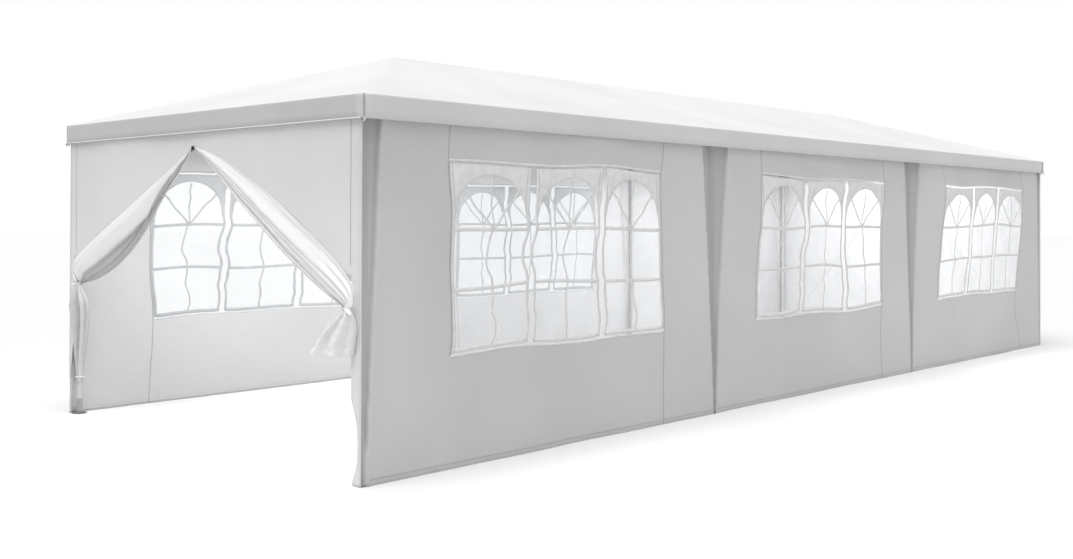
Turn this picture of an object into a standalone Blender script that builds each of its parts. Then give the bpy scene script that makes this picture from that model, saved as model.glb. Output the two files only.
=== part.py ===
"""A 3 x 9 m hip-roofed party tent: slip-together steel tube frame, fabric roof cover with a valance,
six window walls and two zipped door walls.

Metres, +Z up. The origin is the centre of the footprint on the ground. +X runs along the tent to the
back door and +Y to the left as seen when walking in through the front door.
"""

import math

import bmesh
import bpy
from mathutils import Matrix, Vector

# Driving dimensions of the tent.
HALF_LENGTH = 4.500  # outer faces of the end walls
HALF_WIDTH = 1.500  # outer faces of the side walls
EAVE_Z = 1.885  # top edge of the valance
RIDGE_Z = 2.345  # top of the roof cover
VALANCE_DROP = 0.120
BAYS = 3

# Frame of steel tube.
TUBE_R = 0.016
TUBE_WALL = 0.0008
SLEEVE_R = 0.0187  # outside of a joint's sleeves
SLEEVE_BORE = 0.0169
SLEEVE_END = 0.100  # from the joint's centre to a sleeve's mouth
HUB_R = 0.0235  # the ball that the sleeves are welded round
TUBE_END = 0.050  # from the joint's centre to a tube's end
JOINT_STEP = 0.001  # sleeves and bores start a little apart, and
SLEEVE_STEP = 0.0001  # differ a little in radius,
BORE_STEP = 0.00005  # so that no two of a joint's faces lie in one plane
JOINT_TWIST = 7  # degrees from one sleeve's facets to the next's
BORE_OVERRUN = 0.020  # a bore's cutter runs this far past the sleeve's mouth
ROUND_STEPS = 12  # sides of every round piece
SMOOTH_UNDER = math.radians(40)  # edges that turn less than this are shaded smooth
FRAME_INSET = 0.050  # tube axes inside the walls' outer faces, so that the feet stay inside too
FRAME_HALF_X = HALF_LENGTH - FRAME_INSET
FRAME_HALF_Y = HALF_WIDTH - FRAME_INSET
EAVE_TUBE_Z = EAVE_Z - 0.008

# Foot pressed and welded to the leg.
FOOT_R = 0.0475
FOOT_RIM = 0.004
FOOT_CONE_TOP = 0.017
STUB_R = 0.0185
STUB_TOP = 0.100
FOOT_FLOOR = 0.006
FOOT_CHAMFER = 0.002
FOOT_COLLAR = 0.001  # the coned flange starts this far outside the stub

# Fabric.
CLOTH = 0.0012
VALANCE_OUT = 0.015  # the valance hangs this far outside the walls
HEM_Z = 0.004  # bottom edge of every wall
WALL_TOP = 1.850
WALL_GAP = 0.004  # between neighbouring walls
PIECE_GAP = 0.0003  # between pieces that touch

# Window of clear sheet in each side wall.
WINDOW_W = 1.840
WINDOW_BOTTOM = 0.590
WINDOW_TOP = 1.590
PANE_LAP = 0.020
PANE = 0.0008

# Doors: one zip on the centre line of each end wall.
ZIP_TOP = 1.692
ZIP_HALF_GAP = 0.006
FOLD_FOOT_Y = 1.400  # where the back flaps' fold line meets the hem
FOLD_GAP = 0.0008

# Front flaps, drawn aside and gathered at a tie on each side. Places are (across, up).
TIE_LEFT = Vector((1.348, 0.875))
TIE_RIGHT = Vector((-1.375, 0.835))
GATHER_FLAT = 0.24  # a gather's thickness as a share of its width
GATHER_X = 0.012  # a gather's middle lies this far inside the end wall's middle
GATHER_START = 0.090  # the gathers start this far from the zip's top
GATHER_WIDEST = 0.74  # where a gather is widest, as a share of the way to its tie
GATHER_START_R = 0.014
GATHER_WIDEST_R = 0.088
GATHER_TIE_R = 0.024
GATHER_LAP = 0.003  # each length of a gather starts this far inside the one before
GATHER_TWIST = 5  # degrees from one length's facets to the next's
LEFT_TAIL = [(Vector((0.030, -0.170)), 0.052), (Vector((0.085, -0.620)), 0.014)]
RIGHT_TAIL = [(Vector((0.110, -0.215)), 0.110)]
SIDE_STRIP = 0.060  # cloth kept along the leg below the ties
STRIP_BELOW_TIE = 0.030  # the strips start this far below the ties
LEFT_STRIP_HEM = 0.240  # the strip on the left ends this high

# Zip slider and its pull.
SLIDER = Vector((0.010, 0.0096, 0.022))
SLIDER_BEVEL = 0.0015
PULL_BEVEL = 0.0005
SLIDER_BELOW_TOP = 0.014  # the open zip's slider, below the zip's top
SLIDER_REST_Z = 0.045  # the closed zip's slider
PULL_LENGTH = 0.034
PULL_W = 0.009
PULL_T = 0.0016
BRIDGE_R = 0.0045
BRIDGE_HALF_W = 0.0018
BRIDGE_BELOW_TOP = 0.002  # the bridge's axis, below the top of the slider
PULL_ABOVE_BRIDGE = 0.004  # the pull's top edge, above the bridge's axis
SLIDER_OUT = 0.001  # the slider's middle stands this far outside the end wall's face

EAVE_SLOPE = (RIDGE_Z - EAVE_Z) / (HALF_WIDTH + VALANCE_OUT)
RIDGE_TUBE_Z = EAVE_TUBE_Z + FRAME_HALF_Y * EAVE_SLOPE
RIDGE_HALF_X = FRAME_HALF_X - FRAME_HALF_Y
BAY = 2 * FRAME_HALF_X / BAYS
LEG_X = [-FRAME_HALF_X + BAY * i for i in range(BAYS + 1)]
SIDES = {"left": 1, "right": -1}
ENDS = {"front": -1, "back": 1}


# Scene and materials


def clear_scene():
    for obj in list(bpy.data.objects):
        bpy.data.objects.remove(obj)


def new_collection(name):
    collection = bpy.data.collections.new(name)
    bpy.context.scene.collection.children.link(collection)
    return collection


def new_material(name, colour, roughness, metallic=0.0, alpha=1.0):
    material = bpy.data.materials.new(name)
    material.use_nodes = True
    shader = material.node_tree.nodes["Principled BSDF"]
    shader.inputs["Base Color"].default_value = (*colour, 1.0)
    shader.inputs["Roughness"].default_value = roughness
    shader.inputs["Metallic"].default_value = metallic
    shader.inputs["Alpha"].default_value = alpha
    return material


clear_scene()
TENT = new_collection("party_tent")
CUTTERS = new_collection("cutters")
STEEL = new_material("white_coated_steel", (0.72, 0.73, 0.74), 0.40)
JOINT_STEEL = new_material("coated_joint_steel", (0.62, 0.63, 0.65), 0.45)
ROOF_CLOTH = new_material("roof_cloth", (0.93, 0.93, 0.93), 0.55)
WALL_CLOTH = new_material("wall_cloth", (0.86, 0.86, 0.87), 0.60)
CLEAR_SHEET = new_material("clear_sheet", (0.92, 0.93, 0.94), 0.10, alpha=0.3)
ZIP_METAL = new_material("zip_metal", (0.22, 0.22, 0.23), 0.35, metallic=0.9)


# Objects


def add_object(name, data, material, collection=None):
    obj = bpy.data.objects.new(name, data)
    (collection or TENT).objects.link(obj)
    data.materials.append(material)
    return obj


def add_mesh(name, shape, material, collection=None):
    """An object from a bmesh, which is freed."""
    mesh = bpy.data.meshes.new(name)
    shape.to_mesh(mesh)
    shape.free()
    return add_object(name, mesh, material, collection)


def add_cutter(name, shape):
    cutter = add_mesh(name, shape, WALL_CLOTH, CUTTERS)
    cutter.hide_render = True
    cutter.display_type = "WIRE"
    return cutter


def add_boolean(obj, other, operation):
    modifier = obj.modifiers.new(other.name, "BOOLEAN")
    modifier.object = other
    modifier.operation = operation


def bevel(obj, width, segments=2):
    modifier = obj.modifiers.new("Bevel", "BEVEL")
    modifier.width = width
    modifier.segments = segments
    modifier.limit_method = "ANGLE"


def smooth(mesh):
    mesh.shade_smooth()
    mesh.set_sharp_from_angle(angle=SMOOTH_UNDER)


def along(direction):
    """The rotation that turns +Z to a direction."""
    return Vector(direction).to_track_quat("Z", "Y")


def turned(name, profile, material, closed=False):
    """A profile of (radius, height) points turned about Z. It runs down its outer side."""
    shape = bmesh.new()
    points = [shape.verts.new((r, 0, z)) for r, z in profile]
    ends = points[1:] + points[:1] if closed else points[1:]
    for a, b in zip(points, ends):
        shape.edges.new((a, b))
    obj = add_mesh(name, shape, material)
    screw = obj.modifiers.new("Screw", "SCREW")
    screw.steps = screw.render_steps = ROUND_STEPS
    screw.use_merge_vertices = True
    screw.merge_threshold = 1e-5
    return obj


def baked(obj):
    """The object's evaluated mesh, so that copies can share it. The object is removed."""
    bpy.context.view_layer.update()
    graph = bpy.context.evaluated_depsgraph_get()
    mesh = bpy.data.meshes.new_from_object(obj.evaluated_get(graph))
    smooth(mesh)
    bpy.data.objects.remove(obj)
    return mesh


def tube(name, start, end, material):
    """A round tube, open at both ends."""
    run = Vector(end) - Vector(start)
    bore = TUBE_R - TUBE_WALL
    ring = [(TUBE_R, run.length), (TUBE_R, 0), (bore, 0), (bore, run.length)]
    obj = turned(name, ring, material, closed=True)
    obj.location = start
    obj.rotation_mode = "QUATERNION"
    obj.rotation_quaternion = along(run)
    return obj


def plate(name, outlines, faces_x, x, material):
    """A flat sheet from (across, up) outlines; a second outline is a hole.

    x is the middle of its thickness. Across runs along Y and the sheet faces X, or, without
    faces_x, across runs along X and the sheet faces Y.
    """
    curve = bpy.data.curves.new(name, "CURVE")
    curve.dimensions = "2D"
    curve.fill_mode = "BOTH"
    curve.extrude = CLOTH / 2
    for outline in outlines:
        spline = curve.splines.new("POLY")
        spline.points.add(len(outline) - 1)
        for point, (across, up) in zip(spline.points, outline):
            point.co = (across, up, 0, 1)
        spline.use_cyclic_u = True
    obj = add_object(name, curve, material)
    turn = math.pi / 2
    obj.rotation_euler = (turn, 0, turn if faces_x else 0)
    obj.location = (x, 0, 0) if faces_x else (0, x, 0)
    return obj


def as_mesh(obj):
    """The same sheet as a mesh, with its caps welded, so that it can take a Boolean."""
    bpy.context.view_layer.update()
    graph = bpy.context.evaluated_depsgraph_get()
    mesh = bpy.data.meshes.new_from_object(obj.evaluated_get(graph))
    shape = bmesh.new()
    shape.from_mesh(mesh)
    bmesh.ops.remove_doubles(shape, verts=shape.verts, dist=1e-5)
    shape.to_mesh(mesh)
    shape.free()
    name, place = obj.name, obj.matrix_world.copy()
    bpy.data.objects.remove(obj)
    made = bpy.data.objects.new(name, mesh)
    TENT.objects.link(made)
    made.matrix_world = place
    return made


def cone_between(start, end, start_r, end_r, twist_deg=0):
    """A bmesh cone with flat ends, between two points."""
    run = Vector(end) - Vector(start)
    middle = (Vector(start) + Vector(end)) / 2
    twist = Matrix.Rotation(math.radians(twist_deg), 4, "Z")
    place = Matrix.Translation(middle) @ along(run).to_matrix().to_4x4() @ twist
    shape = bmesh.new()
    bmesh.ops.create_cone(
        shape, cap_ends=True, segments=ROUND_STEPS, radius1=start_r, radius2=end_r,
        depth=run.length, matrix=place,
    )
    return shape


# Frame


def joint_mesh(name, arms):
    """A hollow pipe joint: an open sleeve along each arm's direction, round one hub."""
    hub = bmesh.new()
    bmesh.ops.create_uvsphere(hub, u_segments=ROUND_STEPS, v_segments=8, radius=HUB_R)
    obj = add_mesh(name, hub, JOINT_STEEL)
    ways = [Vector(arm).normalized() for arm in arms]
    helpers = []
    for i, way in enumerate(ways):
        radius = SLEEVE_R - SLEEVE_STEP * i
        start = way * JOINT_STEP * (i + 1)
        sleeve = cone_between(start, way * SLEEVE_END, radius, radius, JOINT_TWIST * i)
        helpers.append(add_cutter(f"{name}_sleeve_{i}", sleeve))
        add_boolean(obj, helpers[-1], "UNION")
    for i, way in enumerate(ways):
        radius = SLEEVE_BORE - BORE_STEP * i
        start = way * -JOINT_STEP * (i + 1)
        end = way * (SLEEVE_END + BORE_OVERRUN)
        bore = cone_between(start, end, radius, radius, JOINT_TWIST * i)
        helpers.append(add_cutter(f"{name}_bore_{i}", bore))
        add_boolean(obj, helpers[-1], "DIFFERENCE")
    mesh = baked(obj)
    for helper in helpers:
        bpy.data.objects.remove(helper)
    return mesh


def add_joint(name, mesh, location, turn_z):
    obj = bpy.data.objects.new(name, mesh)
    TENT.objects.link(obj)
    obj.location = location
    obj.rotation_euler = (0, 0, turn_z)


def add_joints():
    rise = RIDGE_TUBE_Z - EAVE_TUBE_Z
    down, out, back = (0, 0, -1), (0, -1, 0), (1, 0, 0)
    hip_down = (-FRAME_HALF_Y, FRAME_HALF_Y, -rise)
    # Each shape is drawn for one place and turned about Z for the others.
    corner = joint_mesh("corner", [down, back, (0, 1, 0), (FRAME_HALF_Y, FRAME_HALF_Y, rise)])
    side = joint_mesh("side", [down, back, (-1, 0, 0), (0, FRAME_HALF_Y, rise)])
    ridge_end = joint_mesh(
        "ridge_end", [back, hip_down, (-FRAME_HALF_Y, -FRAME_HALF_Y, -rise)]
    )
    slope_down = FRAME_HALF_Y / rise
    ridge_tee = joint_mesh("ridge_tee", [back, (-1, 0, 0), (0, slope_down, -1), (0, -slope_down, -1)])
    corners = {("front", "right"): 0, ("back", "right"): 1, ("back", "left"): 2, ("front", "left"): 3}
    for (end, hand), quarters in corners.items():
        place = (ENDS[end] * FRAME_HALF_X, SIDES[hand] * FRAME_HALF_Y, EAVE_TUBE_Z)
        add_joint(f"corner_joint_{end}_{hand}", corner, place, quarters * math.pi / 2)
    for hand, sign in SIDES.items():
        for i in (1, 2):
            place = (LEG_X[i], sign * FRAME_HALF_Y, EAVE_TUBE_Z)
            add_joint(f"eave_joint_{hand}_{i + 1}", side, place, math.pi if sign > 0 else 0)
    for end, sign in ENDS.items():
        place = (sign * RIDGE_HALF_X, 0, RIDGE_TUBE_Z)
        add_joint(f"ridge_end_joint_{end}", ridge_end, place, math.pi if sign > 0 else 0)
    for i in (1, 2):
        add_joint(f"ridge_joint_{i + 1}", ridge_tee, (LEG_X[i], 0, RIDGE_TUBE_Z), 0)


def add_legs():
    """Each leg is one tube with its foot: a coned flange and a stub, closed underneath."""
    top = EAVE_TUBE_Z - TUBE_END
    bore = TUBE_R - TUBE_WALL
    profile = [
        (0, FOOT_FLOOR), (bore, FOOT_FLOOR), (bore, top), (TUBE_R, top),
        (TUBE_R, STUB_TOP + FOOT_CHAMFER), (STUB_R, STUB_TOP),
        (STUB_R, FOOT_CONE_TOP + FOOT_CHAMFER), (STUB_R + FOOT_COLLAR, FOOT_CONE_TOP),
        (FOOT_R, FOOT_RIM), (FOOT_R, 0), (0, 0),
    ]
    mesh = baked(turned("leg", profile, STEEL))
    for hand, sign in SIDES.items():
        for i, x in enumerate(LEG_X):
            obj = bpy.data.objects.new(f"leg_{hand}_{i + 1}", mesh)
            TENT.objects.link(obj)
            obj.location = (x, sign * FRAME_HALF_Y, 0)


def add_tube_run(name, start, end):
    """A tube between two joint centres, with both ends inside their sockets."""
    way = (Vector(end) - Vector(start)).normalized()
    tube(name, Vector(start) + way * TUBE_END, Vector(end) - way * TUBE_END, STEEL)


def add_tubes():
    for hand, sign in SIDES.items():
        y = sign * FRAME_HALF_Y
        for i in range(BAYS):
            add_tube_run(
                f"eave_tube_{hand}_{i + 1}", (LEG_X[i], y, EAVE_TUBE_Z), (LEG_X[i + 1], y, EAVE_TUBE_Z)
            )
        for i in (1, 2):
            add_tube_run(
                f"rafter_{hand}_{i + 1}", (LEG_X[i], y, EAVE_TUBE_Z), (LEG_X[i], 0, RIDGE_TUBE_Z)
            )
        for end, way in ENDS.items():
            add_tube_run(
                f"hip_rafter_{end}_{hand}",
                (way * FRAME_HALF_X, y, EAVE_TUBE_Z), (way * RIDGE_HALF_X, 0, RIDGE_TUBE_Z),
            )
    for end, way in ENDS.items():
        x = way * FRAME_HALF_X
        add_tube_run(f"eave_tube_{end}", (x, -FRAME_HALF_Y, EAVE_TUBE_Z), (x, FRAME_HALF_Y, EAVE_TUBE_Z))
    stops = [-RIDGE_HALF_X, LEG_X[1], LEG_X[2], RIDGE_HALF_X]
    for i in range(3):
        add_tube_run(f"ridge_tube_{i + 1}", (stops[i], 0, RIDGE_TUBE_Z), (stops[i + 1], 0, RIDGE_TUBE_Z))


# Fabric


def add_roof_cover():
    """A box whose top is drawn in to the ridge line, open below, with the valance as its sides."""
    half_x, half_y = HALF_LENGTH + VALANCE_OUT, HALF_WIDTH + VALANCE_OUT
    shape = bmesh.new()
    bmesh.ops.create_cube(shape, size=2)
    for v in shape.verts:
        top = v.co.z > 0
        ridge_x = half_x - half_y
        v.co.x *= ridge_x if top else half_x
        v.co.y *= 0 if top else half_y
        v.co.z = RIDGE_Z if top else EAVE_Z
    bmesh.ops.remove_doubles(shape, verts=shape.verts, dist=1e-4)
    floor = [f for f in shape.faces if all(v.co.z < EAVE_Z + 1e-6 for v in f.verts)]
    bmesh.ops.delete(shape, geom=floor, context="FACES_ONLY")
    rim = [e for e in shape.edges if e.is_boundary]
    grown = bmesh.ops.extrude_edge_only(shape, edges=rim)
    low = [g for g in grown["geom"] if isinstance(g, bmesh.types.BMVert)]
    bmesh.ops.translate(shape, verts=low, vec=(0, 0, -VALANCE_DROP))
    bmesh.ops.recalc_face_normals(shape, faces=shape.faces)
    obj = add_mesh("roof_cover", shape, ROOF_CLOTH)
    solid = obj.modifiers.new("Solidify", "SOLIDIFY")
    solid.thickness = CLOTH
    solid.offset = -1
    solid.use_even_offset = True


def rectangle(x0, x1, z0, z1):
    return [(x0, z0), (x1, z0), (x1, z1), (x0, z1)]


def add_side_walls():
    """In each bay a cloth wall with a window opening, and the clear sheet lapped behind it."""
    for hand, sign in SIDES.items():
        wall_y = sign * (HALF_WIDTH - CLOTH / 2)
        pane_y = sign * (HALF_WIDTH - CLOTH - PIECE_GAP - PANE / 2)
        for i in range(BAYS):
            x0 = -HALF_LENGTH if i == 0 else LEG_X[i] + WALL_GAP / 2
            x1 = HALF_LENGTH if i == BAYS - 1 else LEG_X[i + 1] - WALL_GAP / 2
            middle = (x0 + x1) / 2
            hole = rectangle(
                middle - WINDOW_W / 2, middle + WINDOW_W / 2, WINDOW_BOTTOM, WINDOW_TOP
            )
            outer = rectangle(x0, x1, HEM_Z, WALL_TOP)
            plate(f"side_wall_{hand}_{i + 1}", [outer, hole], False, wall_y, WALL_CLOTH)
            sheet = bmesh.new()
            height = WINDOW_TOP - WINDOW_BOTTOM + 2 * PANE_LAP
            size = Matrix.Diagonal((WINDOW_W + 2 * PANE_LAP, PANE, height, 1))
            place = Matrix.Translation((middle, pane_y, (WINDOW_BOTTOM + WINDOW_TOP) / 2))
            bmesh.ops.create_cube(sheet, size=1, matrix=place @ size)
            add_mesh(f"window_pane_{hand}_{i + 1}", sheet, CLEAR_SHEET)


def gather(points_and_radii):
    """Flattened cones through (across, up) points, each a little inside the next, as bmeshes."""
    middle_x = -HALF_LENGTH + CLOTH / 2 + GATHER_X
    shapes = []
    for (start, start_r), (end, end_r) in zip(points_and_radii, points_and_radii[1:]):
        lap = (end - start).normalized() * GATHER_LAP
        first, last = start - lap, end + lap
        twist = GATHER_TWIST * len(shapes)
        shape = cone_between((0, *first), (0, *last), start_r, end_r, twist)
        bmesh.ops.scale(shape, verts=shape.verts, vec=(GATHER_FLAT, 1, 1))
        bmesh.ops.translate(shape, verts=shape.verts, vec=(middle_x, 0, 0))
        shapes.append(shape)
    return shapes


def add_front_door():
    """The front wall, with both flaps drawn aside from the zip's top and gathered at their ties."""
    x = -HALF_LENGTH + CLOTH / 2
    edge = HALF_WIDTH - CLOTH - WALL_GAP
    strip = edge - SIDE_STRIP
    outline = [
        (edge, WALL_TOP), (-edge, WALL_TOP), (-edge, HEM_Z), (-strip, HEM_Z),
        (-strip, TIE_RIGHT.y - STRIP_BELOW_TIE), tuple(TIE_RIGHT), (-ZIP_HALF_GAP, ZIP_TOP),
        (ZIP_HALF_GAP, ZIP_TOP), tuple(TIE_LEFT), (strip, TIE_LEFT.y - STRIP_BELOW_TIE),
        (strip, LEFT_STRIP_HEM), (edge, LEFT_STRIP_HEM),
    ]
    wall = as_mesh(plate("front_door_wall", [outline], True, x, WALL_CLOTH))
    apex = Vector((0, ZIP_TOP))
    for hand, tie, tail in (("left", TIE_LEFT, LEFT_TAIL), ("right", TIE_RIGHT, RIGHT_TAIL)):
        start = apex + (tie - apex).normalized() * GATHER_START
        widest = start + (tie - start) * GATHER_WIDEST
        stops = [(start, GATHER_START_R), (widest, GATHER_WIDEST_R), (tie, GATHER_TIE_R)]
        stops += [(tie + reach, radius) for reach, radius in tail]
        for i, shape in enumerate(gather(stops)):
            add_boolean(wall, add_cutter(f"{hand}_gather_{i}", shape), "UNION")


def add_back_door():
    """The back wall, zipped shut. Each flap folds on the line from the zip's top to the hem."""
    x = HALF_LENGTH - CLOTH / 2
    edge = HALF_WIDTH - CLOTH - WALL_GAP
    fold = Vector((FOLD_FOOT_Y, HEM_Z)) - Vector((ZIP_HALF_GAP, ZIP_TOP))
    square = Vector((fold.y, -fold.x)).normalized()  # square to the fold, towards the zip
    outline = [
        (edge, WALL_TOP), (-edge, WALL_TOP), (-edge, HEM_Z), (-FOLD_FOOT_Y, HEM_Z),
        (-ZIP_HALF_GAP, ZIP_TOP), (ZIP_HALF_GAP, ZIP_TOP), (FOLD_FOOT_Y, HEM_Z), (edge, HEM_Z),
    ]
    plate("back_door_wall", [outline], True, x, WALL_CLOTH)
    # Each corner of a flap is drawn in from the fold line by the fold's gap.
    along_hem = FOLD_GAP / abs(square.x)
    along_zip = FOLD_GAP / abs(square.y)
    for hand, sign in SIDES.items():
        flap = [
            (sign * ZIP_HALF_GAP, ZIP_TOP - along_zip), (sign * ZIP_HALF_GAP, HEM_Z),
            (sign * (FOLD_FOOT_Y - along_hem), HEM_Z),
        ]
        plate(f"back_door_flap_{hand}", [flap], True, x, WALL_CLOTH)


def add_zip(end, slider_z):
    """A zip slider between the flaps' edges, and the pull that swings from its bridge."""
    sign = ENDS[end]
    face = sign * (HALF_LENGTH + SLIDER_OUT)
    centre = Vector((face, 0, slider_z))
    body = bmesh.new()
    place = Matrix.Translation(centre) @ Matrix.Diagonal((*SLIDER, 1))
    bmesh.ops.create_cube(body, size=1, matrix=place)
    slider = add_mesh(f"{end}_zip_slider", body, ZIP_METAL)
    bevel(slider, SLIDER_BEVEL)
    bridge_x = face + sign * SLIDER.x / 2
    top = slider_z + SLIDER.z / 2 - BRIDGE_BELOW_TOP
    bridge = cone_between(
        (bridge_x, -BRIDGE_HALF_W, top), (bridge_x, BRIDGE_HALF_W, top), BRIDGE_R, BRIDGE_R
    )
    add_boolean(slider, add_cutter(f"{end}_bridge", bridge), "UNION")
    pull_x = bridge_x + sign * (BRIDGE_R + PIECE_GAP + PULL_T / 2)
    pull = bmesh.new()
    middle = Vector((pull_x, 0, top + PULL_ABOVE_BRIDGE - PULL_LENGTH / 2))
    size = Matrix.Diagonal((PULL_T, PULL_W, PULL_LENGTH, 1))
    bmesh.ops.create_cube(pull, size=1, matrix=Matrix.Translation(middle) @ size)
    tab = add_mesh(f"{end}_zip_pull", pull, ZIP_METAL)
    bevel(tab, PULL_BEVEL)


add_joints()
add_legs()
add_tubes()
add_roof_cover()
add_side_walls()
add_front_door()
add_back_door()
add_zip("front", ZIP_TOP - SLIDER_BELOW_TOP)
add_zip("back", SLIDER_REST_Z)
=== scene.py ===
"""Looks of the party tent: cloth roof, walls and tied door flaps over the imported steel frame.

Metres, +Z up, in the frame's own axes. Across and up mean a point on a wall; out is away from the room.
"""

from math import ceil, copysign, cos, exp, hypot, pi, radians, sin, sqrt

import bmesh
import bpy
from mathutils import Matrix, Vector, noise


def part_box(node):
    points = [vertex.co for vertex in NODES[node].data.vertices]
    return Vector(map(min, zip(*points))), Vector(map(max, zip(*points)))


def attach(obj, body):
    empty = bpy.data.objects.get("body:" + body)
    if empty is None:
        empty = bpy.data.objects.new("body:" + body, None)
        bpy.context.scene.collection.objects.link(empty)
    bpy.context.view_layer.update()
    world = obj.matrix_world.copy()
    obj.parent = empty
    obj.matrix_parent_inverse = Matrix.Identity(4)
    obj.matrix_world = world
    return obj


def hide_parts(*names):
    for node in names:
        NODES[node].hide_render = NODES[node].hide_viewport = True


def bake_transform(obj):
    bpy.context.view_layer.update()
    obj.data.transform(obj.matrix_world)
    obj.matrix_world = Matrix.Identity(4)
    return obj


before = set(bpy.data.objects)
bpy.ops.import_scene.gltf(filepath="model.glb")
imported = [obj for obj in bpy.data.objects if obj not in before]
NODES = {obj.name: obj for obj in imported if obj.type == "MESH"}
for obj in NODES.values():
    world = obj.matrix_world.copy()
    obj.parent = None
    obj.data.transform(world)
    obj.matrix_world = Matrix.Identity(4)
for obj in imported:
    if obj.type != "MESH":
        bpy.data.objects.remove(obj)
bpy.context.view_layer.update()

# Sizes read from the frame
ROOF_LOW, ROOF_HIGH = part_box("roof_cover")
WALL_LOW, WALL_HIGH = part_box("side_wall_left_1")
BACK_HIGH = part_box("back_door_wall")[1]
FLAP_LOW, FLAP_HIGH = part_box("back_door_flap_left")
PANE_LOW, PANE_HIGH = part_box("window_pane_left_1")
HALF_LENGTH = BACK_HIGH.x
HALF_WIDTH = WALL_HIGH.y
HEM_Z = WALL_LOW.z - 0.0025  # the cloth hangs a little lower than the CAD wall
WALL_TOP = WALL_HIGH.z
SIDES = {"left": 1, "right": -1}
ENDS = {"front": -1, "back": 1}
BAYS = 3


def middle(node):
    low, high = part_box(node)
    return (low + high) / 2


LEG_X = [middle(f"leg_left_{i + 1}").x for i in range(BAYS + 1)]
LEG_Y = middle("leg_left_1").y
EAVE_TUBE_Z = middle("eave_tube_front").z

# Roof cover
VALANCE = 0.120
EAVE_Z = ROOF_LOW.z + VALANCE
ROOF_X, ROOF_Y, RIDGE_Z = ROOF_HIGH.x, ROOF_HIGH.y, ROOF_HIGH.z
ROOF_SLOPE = (RIDGE_Z - EAVE_Z) / ROOF_Y
# The valance's painted shade is darker from here down
VALANCE_HEM = 0.1  # the valance is doubled from here down
VALANCE_DROPS = [VALANCE, VALANCE - 0.010, VALANCE - 0.018, 0.08, 0.055, 0.03, 0.012, 0.003]
ROOF_EDGE = 0.004  # where the slopes' first row of points is, in from the eaves
ROOF_LONG, ROOF_SHORT, ROOF_RINGS = 150, 50, 34  # quads along each eave and up each slope

# Side walls
CLOTH_T = 0.0008
WALL_INSET = 0.001  # the cloth's middle, inside the end and side walls' outer faces
WALL_STEP = 0.020  # the walls' and clear sheets' mesh,
FOLD_STEP = 0.008  # and the walls' finer mesh round each leg's folds,
FOLD_HALF = 0.15  # this far each way from either edge of them
LAP = 0.008
LAP_BEHIND = 0.0018
SKEW = {"right": (0.0, 0.06, 0.22), "left": (0.0, 0.0, 0.06)}  # how askew each bay's cloth hangs

# Windows
PANE_LAP = 0.020
WINDOW_LOW = PANE_LOW.z + PANE_LAP
WINDOW_TOP = PANE_HIGH.z - PANE_LAP
WINDOW_HALF = (PANE_HIGH.x - PANE_LOW.x) / 2 - PANE_LAP
ARCH_CROWN = 0.055  # from the top of a light's arch to the top of its print
ARCH_STEPS = 28

# Doors
ZIP_TOP = FLAP_HIGH.z
FOLD_FOOT_Y = FLAP_HIGH.y
ZIP_HALF_GAP = FLAP_LOW.y
FOLD_ACROSS = FOLD_FOOT_Y - ZIP_HALF_GAP
FOLD_SLANT = FOLD_ACROSS / hypot(FOLD_ACROSS, ZIP_TOP - FLAP_LOW.z)  # metres off the fold per metre up
FOLD_REACH = 0.030  # the cloth bends within this distance of the fold
TOOTH_PITCH = 0.006
END_COLUMNS = 150  # the end walls' mesh, across

# Light and looks
ROOM_LIGHT = 0.50  # what the white room gives,
ROOM_SEEN = 1.0  # and how bright it looks
WEAVE_TURN = 2100.0  # radians of weave per metre


# Camera, stage and light


def add_camera():
    camera = bpy.data.cameras.new("camera")
    camera.sensor_width = 36
    camera.lens = 39.2
    camera.shift_x = 0.0451
    camera.shift_y = -0.0689
    obj = bpy.data.objects.new("camera", camera)
    bpy.context.scene.collection.objects.link(obj)
    obj.location = (-8.074, -5.825, 1.294)
    obj.rotation_euler = (radians(90.57), radians(-0.2), radians(44.3 - 90))
    bpy.context.scene.camera = obj


def add_stage():
    """A pale floor in a white room that gives half its light, and is seen at full strength."""
    bpy.ops.mesh.primitive_plane_add(size=160)
    floor = bpy.context.object
    floor.name = "floor"
    floor.data.materials.append(plain_material("floor", (0.80, 0.80, 0.80), 0.9))
    scene = bpy.context.scene
    scene.view_settings.view_transform = "Standard"
    scene.view_settings.look = "None"
    scene.world = bpy.data.worlds.new("studio")
    scene.world.use_nodes = True
    tree = scene.world.node_tree
    tree.nodes.clear()
    rooms = [
        add_node(tree, "Background", {"Color": (1, 1, 1, 1), "Strength": strength})[0]
        for strength in (ROOM_LIGHT, ROOM_SEEN)
    ]
    seen = add_node(tree, "LightPath")["Is Camera Ray"]
    add_node(tree, "OutputWorld", {"Surface": mix_shaders(tree, seen, *rooms)})


def add_light(name, kind, location, toward, energy, **settings):
    light = bpy.data.lights.new(name, kind)
    light.energy = energy
    for key, value in settings.items():
        setattr(light, key, value)
    obj = bpy.data.objects.new(name, light)
    bpy.context.scene.collection.objects.link(obj)
    obj.location = location
    way = Vector(toward) - Vector(location)
    obj.rotation_euler = way.to_track_quat("-Z", "Y").to_euler()
    obj.visible_camera = False


def add_lights():
    """A broad key from above the front, and light under the roof such as white walls throw back."""
    add_light("key", "SUN", (-4, -1.5, 10), (0, 0, 0), 2.6, angle=radians(50))
    for name, x, energy in (("front_glow", -2.4, 67), ("back_glow", 2.5, 89)):
        add_light(
            name, "AREA", (x, 0, 1.72), (x, 0, 0), energy,
            shape="RECTANGLE", size=3.9, size_y=2.4,
        )


# Materials


def node_material(name):
    material = bpy.data.materials.new(name)
    material.use_nodes = True
    tree = material.node_tree
    return material, tree, tree.nodes["Principled BSDF"], tree.nodes["Material Output"]


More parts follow.
